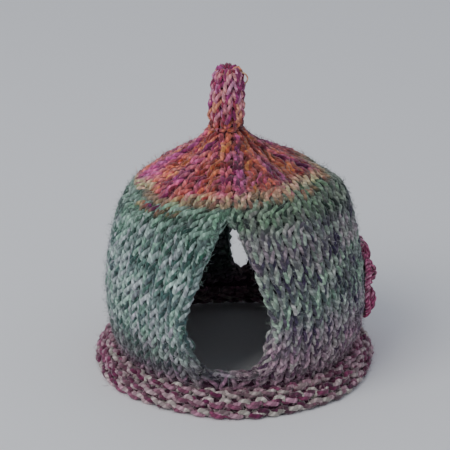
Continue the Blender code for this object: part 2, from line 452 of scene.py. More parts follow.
def twisted(turn, turns):
    """How far round the two strands have turned: some turns a stitch, never quite evenly."""
    knots = np.arange(0, turn[-1] + 0.5, 0.5)
    wander = np.cumsum(chance.normal(0, UNEVEN_TWIST, len(knots)))
    start = chance.uniform(0, 2 * math.pi)
    return start + 2 * math.pi * turns * turn + np.interp(turn, knots, wander)


def plied(path, normal, radius, spread, turns, colours, closed=False, sides=5):
    """Strands of several colours that turn about each other along a path. Open ends are tapered."""
    along = unit(np.gradient(path, axis=0))
    normal = square_to(normal, along)
    beside = np.cross(along, normal)
    made = []
    for i, colour in enumerate(colours):
        phase = (turns + 2 * math.pi * i / len(colours))[:, None]
        centre = path + spread * (FLAT_PLY * np.cos(phase) * normal + np.sin(phase) * beside)
        width = radius * np.ones(len(path))
        if not closed:
            width[[0, -1]] *= 0.5
        made.append(tube(centre, normal, width, colour, sides))
    return made


def joined(objects, name):
    """One piece from many, with its seams merged."""
    bpy.ops.object.select_all(action="DESELECT")
    for o in objects:
        o.select_set(True)
    bpy.context.view_layer.objects.active = objects[0]
    bpy.ops.object.join()
    piece = bpy.context.object
    bpy.ops.object.mode_set(mode="EDIT")
    bpy.ops.mesh.select_all(action="SELECT")
    bpy.ops.mesh.remove_doubles(threshold=MERGED)
    bpy.ops.mesh.normals_make_consistent(inside=False)
    bpy.ops.object.mode_set(mode="OBJECT")
    bpy.ops.object.shade_smooth()
    piece.name = name
    piece.data.name = name
    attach(piece, "root")
    print(name, len(piece.data.polygons), "faces")
    return piece


# %% [markdown]
# ## Colours of the yarn
# The yarn changes colour as it goes, so colours lie in bands along the rows, and the two panels
# have different bands. In the crown, orange and magenta lie in streaks down from the neck. The
# crown's colour starts with one row of cream, and starts higher on the right than on the left.

# %% Palettes
def from_screen(*colour):
    """A colour as seen on a screen, from 0 to 255, as a linear one."""
    c = np.array(colour, float) / 255
    return np.where(c <= 0.04045, c / 12.92, ((c + 0.055) / 1.055) ** 2.4)


LEFT_BANDS = (
    # height, light strand, dark strand
    (0.014, from_screen(160, 128, 144), from_screen(72, 36, 60)),
    (0.019, from_screen(144, 132, 142), from_screen(56, 44, 60)),
    (0.026, from_screen(142, 146, 144), from_screen(50, 58, 62)),
    (0.040, from_screen(172, 190, 184), from_screen(56, 86, 82)),
    (0.070, from_screen(182, 200, 196), from_screen(58, 90, 86)),
    (0.090, from_screen(164, 190, 180), from_screen(40, 76, 66)),
    (0.108, from_screen(130, 162, 140), from_screen(24, 54, 42)),
)
RIGHT_BANDS = (
    # height, light strand, dark strand
    (0.014, from_screen(182, 154, 162), from_screen(86, 44, 70)),
    (0.030, from_screen(182, 160, 166), from_screen(76, 48, 76)),
    (0.044, from_screen(170, 168, 166), from_screen(58, 44, 74)),
    (0.060, from_screen(172, 194, 174), from_screen(56, 54, 72)),
    (0.076, from_screen(170, 182, 168), from_screen(50, 42, 68)),
    (0.084, from_screen(164, 164, 158), from_screen(46, 34, 64)),
    (0.096, from_screen(154, 158, 152), from_screen(42, 34, 58)),
    (0.101, from_screen(132, 148, 130), from_screen(26, 42, 36)),
    (0.113, from_screen(132, 152, 128), from_screen(24, 46, 34)),
)
LIGHT, DARK = 1, 2
DYE_DRIFT = np.array([0.11, -0.06, 0.06])
CREAM = (from_screen(212, 184, 146), from_screen(122, 92, 74))
ORANGE = (from_screen(234, 138, 82), from_screen(142, 58, 34))
MAGENTA = (from_screen(208, 92, 130), from_screen(110, 18, 54))
PURPLE = (from_screen(202, 98, 160), from_screen(100, 22, 78))
CROWN_STREAKS = (
    # streaks round the crown, how strong, where they start
    (8, 0.30, math.pi),
    (19, 0.22, 1.0),
    (31, 0.14, 2.2),
)
CROWN_START = 0.1105
CROWN_CLIMB = 0.0038
CROWN_HIGHEST = math.radians(65)
BRIM_GREY = from_screen(190, 182, 172)
BRIM_PINK = from_screen(186, 134, 156)
BRIM_PLUM = from_screen(82, 28, 60)
BRIM_WINE = from_screen(116, 30, 76)
STALK_LIGHT = (
    from_screen(222, 146, 180),
    from_screen(228, 152, 126),
    from_screen(208, 124, 92),
    from_screen(198, 108, 168),
)
STALK_DARK = (
    from_screen(142, 44, 100),
    from_screen(158, 58, 126),
    from_screen(130, 36, 72),
    from_screen(164, 62, 84),
)
FLOWER_LIGHT = (from_screen(196, 92, 138), from_screen(176, 64, 112), from_screen(222, 146, 176))
FLOWER_DARK = (from_screen(146, 42, 92), from_screen(152, 54, 100), from_screen(118, 30, 70))


# %% Colour of a strand at each place
def banded(bands, height, strand):
    levels = [b[0] for b in bands]
    colours = np.array([b[strand] for b in bands])
    return np.stack([np.interp(height, levels, colours[:, i]) for i in range(3)], axis=1)


def mottled(count, amount, step):
    """Slow changes along a strand, one every so many points."""
    knots = np.arange(0, count + step, step)
    return np.interp(np.arange(count), knots, chance.normal(0, amount, len(knots)))


def crown_colour(azimuth, height, strand, streak):
    """Orange and magenta in streaks down from the neck, with painted shade that makes the crown a
    little darker on the right, away from the window.
    """
    ribbed = sum(h * np.cos(n * azimuth + start) for n, h, start in CROWN_STREAKS)
    orange = np.clip(0.42 + ribbed + streak + 6.0 * (height - 0.120), 0, 1)[:, None]
    purple = np.clip(0.4 + 0.5 * np.cos(11 * azimuth + 90 * height) - streak, 0, 1)[:, None]
    magenta = MAGENTA[strand - 1] * (1 - purple) + PURPLE[strand - 1] * purple
    # Painted shade: the crown's colour darkens towards the right, away from the window's light.
    shade = (0.92 - 0.21 * np.sin(azimuth))[:, None]
    return (ORANGE[strand - 1] * orange + magenta * (1 - orange)) * shade


def marled(points, strand, streak=0.0):
    """The plain colour of the light strand (1) or the dark strand (2) at places on the cosy."""
    height = points[:, 2]
    azimuth = np.arctan2(points[:, 0] - AXIS[0], AXIS[1] - points[:, 1])
    right = smooth_step(-0.006, 0.006, points[:, 0])[:, None]
    left_side = banded(LEFT_BANDS, height, strand)
    right_side = banded(RIGHT_BANDS, height, strand)
    sides = left_side * (1 - right) + right_side * right
    crown = crown_colour(azimuth, height, strand, streak)
    above = height - CROWN_START - CROWN_CLIMB * np.cos(azimuth - CROWN_HIGHEST)
    cream = smooth_step(-0.0036, -0.0018, above)[:, None]
    coloured = smooth_step(-0.0008, 0.0010, above)[:, None]
    return (sides * (1 - cream) + CREAM[strand - 1] * cream) * (1 - coloured) + crown * coloured


def yarn_colour(path, strand):
    """The colour of a strand along a course, as unevenly dyed as hand-dyed wool."""
    count = len(path)
    moved = path + mottled(count, 0.0017, 40)[:, None] * np.array([0.3, 0, 1])
    streak = mottled(count, 0.18, 14)
    blend = 0.18 if strand == LIGHT else 0.82
    blend = np.clip(blend + mottled(count, 0.20, 8), 0, 1)[:, None]
    shade = marled(moved, LIGHT, streak) * (1 - blend) + marled(moved, DARK, streak) * blend
    drift = np.clip(mottled(count, 1.0, 6), -1.4, 1.4)[:, None] * DYE_DRIFT
    return np.clip(shade * (1 + mottled(count, 0.12, 9)[:, None] + drift), 0, 1)


def flecked(count, colours):
    """One colour of a short list after another, in no order, blending from one to the next."""
    knots = np.arange(0, count + 7, 7)
    picked = np.array(colours)[chance.integers(0, len(colours), len(knots))]
    return np.stack([np.interp(np.arange(count), knots, picked[:, i]) for i in range(3)], axis=1)


# %% [markdown]
# ## The sides and the crown
# Rows that cross a slit are two runs of yarn, one in each panel. The panel's edge rolls inwards,
# as stocking stitch does, and so hides where the rows turn. The first stitch of each row is
# slipped and not knitted, so a chain of long stitches runs up each edge.


# %% Lay a row of stitches on the form
CHAIN_POINTS = 150
CHAIN_INWARDS = 0.0012
CHAIN_SWING = 0.0013
CHAIN_DEEP = 0.0006
CHAIN_SUNK = 0.0002
CHAIN_STRAND = 0.00105
CHAIN_SPREAD = 0.00070
CHAIN_TWIST = 0.9
TINY_STEP = 0.0000005


def on_opened(side, flat, along):
    azimuth, along = opened(side, flat, along)
    return cloth(SIDE_LINE, azimuth, along, CLOTH_MIDDLE)


def laid(side, place, along, out):
    """Points of the cloth, rolled inwards past a slit's edge, and the way that the cloth faces."""
    flat = np.clip(place, 1e-6, HALF_ROUND - 1e-6)
    past = np.minimum(np.maximum(-place, place - HALF_ROUND).clip(0), ROLLED)
    middle = on_opened(side, flat, along)
    ahead = on_opened(side, flat + TINY_STEP, along)
    behind = on_opened(side, flat - TINY_STEP, along)
    higher = on_opened(side, flat, along + TINY_STEP)
    lower = on_opened(side, flat, along - TINY_STEP)
    outwards = unit(np.cross(unit(ahead - behind) * side[:, None], unit(higher - lower)))
    near_front = (flat < 0.5 * HALF_ROUND)[:, None]
    inland = square_to(np.where(near_front, ahead - middle, behind - middle), outwards)
    roll = past / EDGE_ROLL
    lift = (EDGE_ROLL + out) * np.cos(roll) - EDGE_ROLL
    shift = (EDGE_ROLL + out) * np.sin(roll)
    facing = unit(outwards * np.cos(roll)[:, None] - inland * np.sin(roll)[:, None])
    return middle + outwards * lift[:, None] - inland * shift[:, None], facing


def crown_place(column, level, count):
    """Where a stitch of a round of 8 * count stitches lies round the cosy, from -1 to 1."""
    part = np.floor(column / count)
    inside = column - part * count
    index = np.floor(inside) + 0.5
    off = inside - index
    now = count_at(level)
    around = (part + (np.minimum(index, now - 0.5) + off) / now) / (CROWN_PARTS / 2) - 1
    shift = smooth_step(SIDE_ROWS, SIDE_ROWS + 3, level) / (CROWN_PARTS * now)
    return (around + shift + 1) % 2 - 1


def knitted_row(row):
    """One course of stocking stitch round the cosy, whole or in two panels."""
    count = per_part(row)
    strand, swing, tall, deep, tilt = loop_shape(row)
    half = CROWN_PARTS * count // 2
    middle = (row + 0.5) * ROW
    parted = abs(middle - SPOUT["middle"]) < SPOUT["half"]
    runs = ((0, half), (half, half)) if parted else ((0, 2 * half),)
    made = []
    for first, stitches in runs:
        turn, across, up, out = course(stitches, swing, tall, deep, tilt, WANDER)
        level = np.clip(row + 0.5 + up, 0.0, None)
        column = np.clip(first + across, 0, 2 * half - 1e-6)
        if parted:
            column = np.clip(column, first + 1e-6, first + stitches - 1e-6)
        around = crown_place(column, level, count)
        side = np.where(around < 0, -1.0, 1.0)
        along = np.minimum(level * ROW, SIDE_LENGTH)
        place = drawn_in(np.abs(around) * HALF_ROUND, along)
        path, facing = laid(side, place, along, out)
        shown = np.flatnonzero((place > -ROLLED) & (place < HALF_ROUND + ROLLED))
        kept = slice(shown[0], shown[-1] + 1)
        path, facing, turn = path[kept], facing[kept], turn[kept]
        # Painted shade: the yarn's colour is darkened where its loops go behind the cloth.
        shade = painted_shade_behind(turn)
        colours = [yarn_colour(path, kind) * shade for kind in (LIGHT, DARK)]
        turns = twisted(turn, TWISTS)
        made += plied(path, facing, strand, SPREAD, turns, colours, not parted, STRAND_SIDES)
    return made


def edge_chain(side, slit, at_front):
    """The chain of slipped stitches that runs up one edge of a slit: two strands that cross."""
    made = []
    count = CHAIN_POINTS
    share = np.linspace(0.001, 0.999, count)
    along = slit["middle"] + slit["half"] * (2 * share - 1)
    level = slit["half"] / ROW * share
    for loose in (0.0, math.pi):
        wave = 2 * math.pi * level + loose
        inwards = CHAIN_INWARDS - CHAIN_SWING * np.sin(wave)
        place = -inwards if at_front else HALF_ROUND + inwards
        out = CHAIN_DEEP * np.cos(wave) - CHAIN_SUNK
        path, facing = laid(np.full(count, side), place, along, out)
        colours = [yarn_colour(path, kind) for kind in (LIGHT, DARK)]
        turns = CHAIN_TWIST * wave
        made += plied(path, facing, CHAIN_STRAND, CHAIN_SPREAD, turns, colours, sides=STRAND_SIDES)
    return made


lower_rows = [o for row in range(0, SIDE_ROWS // 2) for o in knitted_row(row)]
knit_lower = joined(lower_rows, "knit_lower")
upper_rows = [o for row in range(SIDE_ROWS // 2, SIDE_ROWS) for o in knitted_row(row)]
for side in (-1.0, 1.0):
    upper_rows += edge_chain(side, SPOUT, True) + edge_chain(side, HANDLE, False)
knit_upper = joined(upper_rows, "knit_upper")
crown_rows = [o for row in range(SIDE_ROWS, ROWS) for o in knitted_row(row)]
knit_crown = joined(crown_rows, "knit_crown")

# %% [markdown]
# ## The brim
# Garter stitch is every row knitted, which shows as a purl row after a knit row. A knit row
# comes forward at its heads and the purl row above it at its feet, so the two rows together make
# a ridge of short sideways bumps, set like bricks. Between two ridges the yarn lies behind.

# %% Garter stitch round the brim
BRIM_STITCHES = 48
BRIM_ROWS = 6
BRIM_ROW = BRIM_LENGTH / (BRIM_ROWS + 0.2)
HEM_LIFT = 0.0023
BRIM_SWING = 0.16
BRIM_TALL = 0.90
BRIM_WANDER = 0.045
BRIM_BUMP = 0.0018
HEM_BUMP = 0.2
BRIM_STRAND = 0.00142
BRIM_SPREAD = 0.00088
BRIM_TWISTS = 1.7


def brim_colours(path):
    """Light and dark colours that drift round the brim, from grey to pink and from plum to wine."""
    count = len(path)
    pink = np.clip(0.5 + mottled(count, 0.45, 40), 0, 1)[:, None]
    fleck = 1 + mottled(count, 0.14, 9)[:, None]
    light = BRIM_GREY * (1 - pink) + BRIM_PINK * pink
    dark = BRIM_PLUM * (1 - pink) + BRIM_WINE * pink
    blend = np.clip(0.12 + mottled(count, 0.16, 16), 0, 0.5)[:, None]
    shown = light * (1 - blend) + dark * blend
    shaded = dark * (1 - blend) + light * blend
    return [np.clip(colour * fleck, 0, 1) for colour in (shown, shaded)]


def brim_row(row):
    """One course of garter stitch: the even rows are knit rows and the odd ones are purl rows."""
    turn, across, up, out = course(BRIM_STITCHES, BRIM_SWING, BRIM_TALL, 0.0, 0.0, BRIM_WANDER)
    forward = -np.cos(2 * math.pi * turn) * (1 if row % 2 == 0 else -1)
    if row == 0:
        forward = np.maximum(forward, -HEM_BUMP)
    azimuth = 2 * math.pi * (across / BRIM_STITCHES - 0.5)
    along = np.clip((row + 0.55 + up) * BRIM_ROW, 0.0004, BRIM_LENGTH)
    middle = cloth(BRIM_LINE, azimuth, along, CLOTH_MIDDLE)
    ahead = cloth(BRIM_LINE, azimuth, along, CLOTH_MIDDLE + 0.001)
    facing = unit(ahead - middle)
    path = middle + facing * (BRIM_BUMP * forward + out)[:, None]
    path[:, 2] = np.maximum(path[:, 2], HEM_LIFT)
    # Painted shade and light: the yarn is darker where it lies back between ridges and lighter on the
    # bumps that come forward.
    shade = (0.82 + 0.24 * forward)[:, None]
    colours = [colour * shade for colour in brim_colours(path)]
    turns = twisted(turn, BRIM_TWISTS)
    return plied(path, facing, BRIM_STRAND, BRIM_SPREAD, turns, colours, closed=True)


knit_brim = joined([o for row in range(BRIM_ROWS) for o in brim_row(row)], "knit_brim")

# %% [markdown]
# ## The cloth behind the stitches
# Between two stitches one sees the backs of other loops in shade. A thin sheet in the middle of
# the cloth stands for them. It has the cloth's cut: one panel on each side of the slits, joined
# at the brim and above the front slit, with the same rolled edges.

# %% Thin sheet inside the cloth
SHEET_THICKNESS = 0.0008
PANEL_COLUMNS = 56
SHEET_ROWS = 60
SHEET_BRIM_ROWS = 8


def sheet_grid(columns, rows, points, colour):
    """A grid primitive whose points are moved to where the sheet lies."""
    bpy.ops.mesh.primitive_grid_add(x_subdivisions=columns, y_subdivisions=rows, size=1)
    shaped(bpy.context.object, points, colour)
    return bpy.context.object


def panel_sheet(side):
    """The sheet inside one panel, from the hem to the drawn-in neck."""
    share = np.linspace(0, 1, PANEL_COLUMNS + 1)
    side = np.full_like(share, side)
    rows = []
    for along in np.linspace(0, BRIM_LENGTH, SHEET_BRIM_ROWS + 1)[:-1]:
        azimuth, _ = opened(side, share * HALF_ROUND, np.zeros_like(share))
        rows.append(cloth(BRIM_LINE, azimuth, np.full_like(share, along), CLOTH_MIDDLE))
    for along in np.linspace(0, SIDE_LENGTH, SHEET_ROWS + 1):
        first = min(ROLLED, tucked(along, SPOUT))
        last = min(ROLLED, tucked(along, HANDLE))
        place = -first + share * (HALF_ROUND + first + last)
        points, _ = laid(side, place, np.full_like(share, along), np.zeros_like(share))
        rows.append(points)
    neck = np.array([[AXIS[0] + NECK_OFFSET, AXIS[1], NECK_HEIGHT]])
    rows.append(np.repeat(neck, len(share), axis=0))
    points = np.concatenate(rows)
    points[:, 2] = np.maximum(points[:, 2], HEM_LIFT)
    # Painted shade: the sheet has the dark strand's colour at half brightness, and the brim's plum at
    # half brightness below the fold.
    colour = 0.5 * marled(points, DARK)
    low = points[:, 2] < FOLD_HEIGHT
    colour[low] = 0.5 * BRIM_PLUM
    return sheet_grid(PANEL_COLUMNS, len(rows) - 1, points, colour)


def thickened(piece, thickness):
    """Give a sheet its thickness, half to each side."""
    solidify = piece.modifiers.new("thickness", "SOLIDIFY")
    solidify.thickness = thickness
    solidify.offset = 0
    bpy.context.view_layer.objects.active = piece
    bpy.ops.object.modifier_apply(modifier="thickness")
    return piece


cloth_sheet = thickened(joined([panel_sheet(-1), panel_sheet(1)], "cloth_sheet"),
                        SHEET_THICKNESS)
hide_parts("knitted_body")

# %% [markdown]
# ## The stalk
# The stalk is a short cord of eight columns, knitted in the round and drawn in at its top. The
# yarn is the same two strands, here in magenta with orange and peach flecks. Its first round is
# still in the colours of the crown and spreads over it. A loose loop of the last round stands out
# on the right.

# %% Knitted stalk
STALK_PROFILE = (
    # radius, height above the foot
    (0.0080, 0.0000),
    (0.0092, 0.0012),
    (0.0100, 0.0060),
    (0.0097, 0.0130),
    (0.0091, 0.0200),
    (0.0086, 0.0265),
    (0.0079, 0.0305),
    (0.0056, 0.0329),
    (0.0025, 0.0325),
    (0.0000, 0.0318),
)
STALK_STITCHES = 8
STALK_ROWS = 7
STALK_LEAN = math.radians(2.6)
STALK_FOOT = NECK_HEIGHT + 0.0004
STALK_ROOT = 0.0034
STALK_FLARE = 0.9
STALK_LOOP = {"swing": 0.22, "tall": 0.84, "deep": 0.00140, "tilt": 0.6}
STALK_STRAND = 0.00104
STALK_SPREAD = 0.00072
STALK_TWISTS = 1.8
STALK_CLOSED = 0.0015
CORE_SUNK = 0.0008
LOOSE_POINTS = 24
LOOSE_STRAND = 0.00048
STALK_LINE = measured(STALK_PROFILE)
STALK_LENGTH = STALK_LINE[0][-1]


def on_stalk(turn, along, out):
    """A point of the stalk. Turn 0 is the front, along is up its side and in over its top."""
    reach, points = STALK_LINE
    below = np.minimum(along, 0)
    along = np.clip(along, 0, STALK_LENGTH)
    radius = np.interp(along, reach, points[:, 0]) - STALK_FLARE * below
    height = np.interp(along, reach, points[:, 1]) + below
    slope_out = np.gradient(points[:, 1], reach)
    slope_up = -np.gradient(points[:, 0], reach)
    radius = np.maximum(radius + out * np.interp(along, reach, slope_out), 0)
    height = height + out * np.interp(along, reach, slope_up)
    x = AXIS[0] + NECK_OFFSET + radius * np.sin(turn) + math.tan(STALK_LEAN) * height
    return np.stack([x, AXIS[1] - radius * np.cos(turn), STALK_FOOT + height], axis=1)


def stalk_row(row):
    """One round of the stalk. The last one is drawn in round the middle of its top."""
    turn, across, up, out = course(STALK_STITCHES, wander=WANDER, **STALK_LOOP)
    angle = 2 * math.pi * (across - 0.5) / STALK_STITCHES
    along = (row + 0.35 + up) * STALK_LENGTH / (STALK_ROWS + 0.2)
    along = np.clip(along, -STALK_ROOT, STALK_LENGTH - STALK_CLOSED)
    path = on_stalk(angle, along, CLOTH_MIDDLE + out)
    facing = unit(on_stalk(angle, along, CLOTH_MIDDLE + out + 0.001) - path)
    # Painted shade: the yarn's colour is darkened where its loops go behind the stalk's surface.
    shade = painted_shade_behind(turn)
    if row == 0:
        colours = [yarn_colour(path, kind) * shade for kind in (LIGHT, DARK)]
    else:
        colours = [flecked(len(path), shades) * shade for shades in (STALK_LIGHT, STALK_DARK)]
    turns = twisted(turn, STALK_TWISTS)
    return plied(path, facing, STALK_STRAND, STALK_SPREAD, turns, colours, closed=True)


def stalk_core():
    """The inside of the stalk, which shows between its stitches, in painted shade: the darkest stalk
    colour at half brightness.
    """
    columns, rows = 24, 20
    turn = np.tile(np.linspace(0, 2 * math.pi, columns + 1), rows + 1)
    along = np.repeat(np.linspace(0, STALK_LENGTH, rows + 1), columns + 1)
    points = on_stalk(turn, along, np.full_like(turn, CLOTH_MIDDLE - CORE_SUNK))
    foot = np.repeat([[AXIS[0] + NECK_OFFSET, AXIS[1], STALK_FOOT]], columns + 1, axis=0)
    # Painted shade: half the brightness of the darkest stalk colour.
    return sheet_grid(columns, rows + 1, np.concatenate([foot, points]), 0.5 * STALK_DARK[0])


def loose_loop():
    """The loop of the last round that stands off the stalk's right side."""
    bow = np.linspace(0, 1, LOOSE_POINTS)
    along = STALK_LENGTH * (0.58 + 0.20 * bow)
    out = -0.0012 + 0.0034 * np.sin(math.pi * bow) ** 0.8
    path = on_stalk(np.full(LOOSE_POINTS, math.radians(80)), along, out)
    facing = np.tile([[0.0, -1.0, 0.0]], (LOOSE_POINTS, 1))
    colour = flecked(LOOSE_POINTS, [CREAM[0], STALK_LIGHT[1]])
    return [tube(path, facing, LOOSE_STRAND, colour, STRAND_SIDES)]


core = stalk_core()
stalk_rows = [o for row in range(STALK_ROWS) for o in stalk_row(row)]
knit_stalk = joined([core] + stalk_rows + loose_loop(), "knit_stalk")
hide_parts("stalk")

# %% [markdown]
# ## The flower
# The flower is crocheted in one round: five groups of tall stitches fanned from a small ring,
# with a chain along their tops. The tall stitches bunch together at the middle and spread
# towards the rim, which is what makes each petal round.

# %% Crocheted flower
FLOWER_AZIMUTH = math.radians(101)
FLOWER_HEIGHT = 0.0420
FLOWER_RADIUS = 0.0245
FLOWER_TURN = math.radians(54)
PETALS = 5
PETAL_NOTCH = 0.30
PETAL_DOME = 0.0046
POSTS = 6
POST_POINTS = 14
RIM_STITCHES = 7
RIM_POINTS = 84
RING_POINTS = 49
FLOWER_SEAT = 0.0004
POST_YARN = (0.00074, 0.00066)
RIM_YARN = (0.00072, 0.00055)
RING_YARN = (0.00080, 0.00070)


def on_flower(share, turn, out):
    """A point of the flower: share of its reach, turn round it, and height off the cosy."""
    fold = np.abs(np.cos(0.5 * PETALS * (turn - FLOWER_TURN)))
    lobe = fold ** 0.55
    reach = FLOWER_RADIUS * (1 - PETAL_NOTCH * smooth_step(0.3, 1, share) * (1 - lobe))
    height = FLOWER_HEIGHT + reach * share * np.cos(turn)
    radius = np.interp(height, SIDE_LINE[1][:, 1], SIDE_LINE[1][:, 0])
    azimuth = FLOWER_AZIMUTH - reach * share * np.sin(turn) / radius
    dome = PETAL_DOME * fold * np.sin(math.pi * np.clip(share, 0, 1) ** 1.3)
    return on_form(radius - FLOWER_SEAT + dome + out * (0.4 + 0.6 * fold), height, azimuth)


def flower_strands(share, turn, out, yarn, twists):
    """Two strands of crochet yarn along a path on the flower. Yarn is their radius and spread."""
    path = on_flower(share, turn, out)
    facing = unit(on_flower(share, turn, out + 0.001) - path)
    count = len(path)
    twist = chance.uniform(0, 6) + 2 * math.pi * twists * np.linspace(0, 1, count)
    colours = [flecked(count, FLOWER_LIGHT), flecked(count, FLOWER_DARK)]
    return plied(path, facing, *yarn, twist, colours)


def petal(middle):
    """The tall stitches of one petal, and the chain of stitches round its rim."""
    made = []
    half = math.pi / PETALS
    for i in range(POSTS):
        share = np.linspace(0.18, 0.88, POST_POINTS)
        turn = middle + half * 0.84 * (2 * (i + 0.5) / POSTS - 1) + 0.05 * np.sin(7 * share)
        rise = 0.0021 + 0.0007 * np.sin(math.pi * np.linspace(0, 1, POST_POINTS))
        made += flower_strands(share, turn, rise, POST_YARN, 1.8)
    for loose in (0.0, math.pi):
        swing = np.linspace(-1, 1, RIM_POINTS)
        wave = math.pi * RIM_STITCHES * swing + loose
        share = 0.93 + 0.035 * np.sin(wave) - 0.42 * smooth_step(0.78, 1.0, np.abs(swing))
        rise = 0.0020 + 0.0009 * np.cos(wave)
        made += flower_strands(share, middle + half * 0.96 * swing, rise, RIM_YARN, 7)
    return made


def flower_ring(share, out, twists):
    """A ring of yarn round the flower's middle."""
    turn = np.linspace(0, 2 * math.pi, RING_POINTS)
    return flower_strands(np.full_like(turn, share), turn, np.full_like(turn, out), RING_YARN, twists)


def flower_base():
    """The back of the flower, which lies against the cosy."""
    columns, rows = 60, 8
    turn = np.tile(np.linspace(0, 2 * math.pi, columns + 1), rows + 1)
    share = np.repeat(np.linspace(0.0, 0.88, rows + 1), columns + 1)
    points = on_flower(share, -turn, np.full_like(turn, 0.0010))
    return sheet_grid(columns, rows, points, FLOWER_DARK[1])


base = thickened(joined([flower_base()], "flower_base"), 0.0012)
petals = [o for i in range(PETALS) for o in petal(FLOWER_TURN + 2 * math.pi * i / PETALS)]
rings = flower_ring(0.19, 0.0026, 5) + flower_ring(0.08, 0.0030, 3)
crochet_flower = joined([base] + petals + rings, "crochet_flower")
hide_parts("flower")

# %% [markdown]
# ## Loose fibres
# Wool is hairy: short fibres stand off every strand and soften the outline. One fibre is a thin
# spindle with three sides. A long grid is cut into as many spindles as there are fibres, and
# each is laid from a random point of the yarn, bent along it and lifted a little at its end.

# %% Fibres that stand off the yarn
FIBRE_RINGS = 4
FIBRE_SIDES = 3
FIBRE_LENGTH = 0.0042
FIBRE_RADIUS = 0.00007
FIBRE_CLEAR = 0.00008
FLOOR_CLEAR = 0.0002
COSY_MIDDLE = 0.055
OUTER_SIDE = 0.25


def surface_of(piece):
    """The points of a piece, with their normals and colours."""
    mesh = piece.data
    size = len(mesh.vertices)
    place = np.empty(3 * size, np.float32)
    mesh.vertices.foreach_get("co", place)
    normal = np.empty(3 * size, np.float32)
    mesh.vertex_normals.foreach_get("vector", normal)
    tint = np.empty(4 * size, np.float32)
    mesh.attributes["tint"].data.foreach_get("color", tint)
    return place.reshape(-1, 3), normal.reshape(-1, 3), tint.reshape(-1, 4)[:, :3]


def outer_spots(pieces, count):
    """Random points on the outer side of some pieces, with their normals and colours."""
    surfaces = zip(*(surface_of(piece) for piece in pieces))
    spots, normals, tints = (np.concatenate(values).astype(float) for values in surfaces)
    outwards = spots - np.array([AXIS[0], AXIS[1], COSY_MIDDLE])
    facing = np.sum(normals * unit(outwards), axis=1) > OUTER_SIDE
    picked = chance.choice(np.flatnonzero(facing), count)
    return spots[picked], normals[picked], tints[picked]


def spindles(root, normal, count):
    """The points of thin bent spindles, one from each root, lying nearly along the yarn."""
    heading = square_to(chance.normal(0, 1, (count, 3)), normal)
    length = FIBRE_LENGTH * chance.uniform(0.5, 1.3, count)[:, None]
    lift = chance.uniform(0.05, 0.45, count)[:, None] * length
    side = np.cross(normal, heading)
    curl = chance.normal(0, 0.35, count)[:, None] * length
    share = np.linspace(0, 1, FIBRE_RINGS)[None, :, None]
    bend = share * (1 - share)
    path = root[:, None] + (heading * length)[:, None] * share + (side * curl)[:, None] * bend * 2
    path = path + (normal * lift)[:, None] * (share + 1.2 * bend) + (normal * FIBRE_CLEAR)[:, None]
    angle = np.linspace(0, 2 * math.pi, FIBRE_SIDES + 1)
    width = FIBRE_RADIUS * np.array([0.0, 1.0, 0.8, 0.0])[None, :, None, None]
    ring = (np.cos(angle)[None, None, :, None] * normal[:, None, None]
            + np.sin(angle)[None, None, :, None] * side[:, None, None])
    points = path[:, :, None] + width * ring
    points[..., 2] = np.maximum(points[..., 2], FLOOR_CLEAR)
    return points


def cut_apart(made):
    """Delete the faces between one spindle and the next."""
    between = np.arange(len(made.data.polygons)) // FIBRE_SIDES % FIBRE_RINGS == FIBRE_RINGS - 1
    bpy.ops.object.mode_set(mode="EDIT")
    bpy.ops.mesh.select_all(action="DESELECT")
    bpy.ops.mesh.select_mode(type="FACE")
    bpy.ops.object.mode_set(mode="OBJECT")
    made.data.polygons.foreach_set("select", between)
    bpy.ops.object.mode_set(mode="EDIT")
    bpy.ops.mesh.delete(type="FACE")
    bpy.ops.object.mode_set(mode="OBJECT")


def fibres_on(pieces, count, name):
    """Short fibres on the outer side of some pieces, as one piece."""
    root, normal, tint = outer_spots(pieces, count)
    points = spindles(root, normal, count)
    rows = count * FIBRE_RINGS
    bpy.ops.mesh.primitive_grid_add(x_subdivisions=FIBRE_SIDES, y_subdivisions=rows - 1, size=1)
    made = bpy.context.object
    # Painted highlight: each fibre has its yarn's colour made half again as bright, for the light that
    # fine hairs catch.
    shaped(made, points, np.clip(1.5 * tint + 0.05, 0, 1)[:, None, None])
    cut_apart(made)
    return joined([made], name)


low_fibres = fibres_on([knit_lower, knit_brim], 12000, "low_fibres")
high_fibres = fibres_on([knit_upper, knit_crown], 13000, "high_fibres")

# %% [markdown]
# ## The wool's surface
# Wool is matt, with a soft sheen from its loose fibres. Each strand is spun from plies, whose
# grooves run round it on a slant, and its dye is never quite even.

# %% Wool material
PLY_TURNS = 0.95
PLY_DEPTH = 0.00022
SHADE = {"groove": 0.46, "ply": 0.26, "fibre": 0.40, "patch": 0.50, "least": 0.09}
FIBRE_SCALE, PATCH_SCALE = 2600, 420
FIBRE_RELIEF = 0.8


